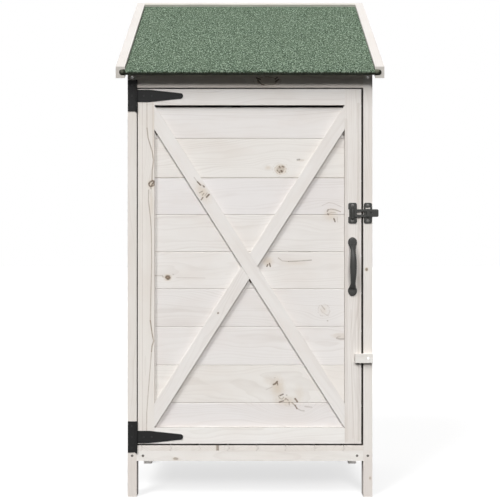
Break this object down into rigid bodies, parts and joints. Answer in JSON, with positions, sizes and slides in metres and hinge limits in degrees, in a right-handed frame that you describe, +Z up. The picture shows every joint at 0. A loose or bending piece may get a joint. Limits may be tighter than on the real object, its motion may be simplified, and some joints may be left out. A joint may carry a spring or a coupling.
{
  "type": "garden_shed",
  "caption": "Small whitewashed garden tool shed with a felted lean-to roof and one framed door with a cross brace, black T-hinges, a handle, a swivel hasp and a wooden turn-button.",
  "frame": {"origin": "on the ground, midway across the width and midway along the roof's depth", "axes": "+X right as seen from the front, +Y to the back, +Z up; the door faces -Y"},
  "size_m": [0.827, 0.572, 1.6764],
  "materials": {
    "whitewashed_fir": "thin white wash, grain and knots showing through",
    "black_iron": "satin black coat",
    "bright_steel": "zinc-plated",
    "roofing_felt": "green mineral grit"
  },
  "bodies": {
    "cabinet": {"front_post_left": "whitewashed_fir", "front_post_right": "whitewashed_fir", "back_post_left": "whitewashed_fir", "back_post_right": "whitewashed_fir", "sill_front": "whitewashed_fir", "header_front": "whitewashed_fir", "bottom_rail_left": "whitewashed_fir", "bottom_rail_right": "whitewashed_fir", "bottom_rail_back": "whitewashed_fir", "top_rail_left": "whitewashed_fir", "top_rail_right": "whitewashed_fir", "top_rail_back": "whitewashed_fir", "side_boards_left": "whitewashed_fir", "side_boards_right": "whitewashed_fir", "back_boards": "whitewashed_fir", "floor_boards": "whitewashed_fir", "floor_bearer_middle": "whitewashed_fir", "floor_bearer_back": "whitewashed_fir", "roof_boards": "whitewashed_fir", "rafter_middle": "whitewashed_fir", "barge_board_left": "whitewashed_fir", "barge_board_right": "whitewashed_fir", "roof_back_batten": "whitewashed_fir", "roof_felt": "roofing_felt", "hinge_plate_upper": "black_iron", "hinge_plate_lower": "black_iron", "hinge_pin_upper": "black_iron", "hinge_pin_lower": "black_iron", "plate_screws": "black_iron", "latch_keeper": "black_iron", "keeper_screws": "black_iron", "turn_button_screw": "bright_steel", "frame_screws": "bright_steel"},
    "door": {"door_stile_left": "whitewashed_fir", "door_stile_right": "whitewashed_fir", "door_rail_top": "whitewashed_fir", "door_rail_bottom": "whitewashed_fir", "door_plank_1": "whitewashed_fir", "door_plank_2": "whitewashed_fir", "door_plank_3": "whitewashed_fir", "door_plank_4": "whitewashed_fir", "door_plank_5": "whitewashed_fir", "door_plank_6": "whitewashed_fir", "door_plank_7": "whitewashed_fir", "door_plank_8": "whitewashed_fir", "door_plank_9": "whitewashed_fir", "door_brace_long": "whitewashed_fir", "door_brace_upper": "whitewashed_fir", "door_brace_lower": "whitewashed_fir", "hinge_strap_upper": "black_iron", "hinge_strap_lower": "black_iron", "strap_screws": "black_iron", "door_handle": "black_iron", "hasp_bracket": "black_iron", "hasp_pin": "black_iron", "stile_screws": "black_iron"},
    "hasp": {"hasp_arm": "black_iron"},
    "knob": {"latch_knob": "black_iron"},
    "button": {"turn_button": "whitewashed_fir"}
  },
  "joints": [
    {"name": "door_hinge", "type": "hinge", "parent": "cabinet", "child": "door", "pos_m": [-0.355, -0.2378, 0.7205], "axis": [0, 0, -1], "range_deg": [0, 180]},
    {"name": "hasp_hinge", "type": "hinge", "parent": "door", "child": "hasp", "pos_m": [0.32025, -0.2418, 0.8865], "axis": [0, 0, -1], "range_deg": [0, 180]},
    {"name": "knob_turn", "type": "hinge", "parent": "cabinet", "child": "knob", "pos_m": [0.36825, -0.2406, 0.8865], "axis": [0, 1, 0], "range_deg": [0, 90]},
    {"name": "button_turn", "type": "hinge", "parent": "cabinet", "child": "button", "pos_m": [0.36825, -0.2343, 0.434], "axis": [0, 1, 0], "range_deg": [-90, 90]}
  ]
}
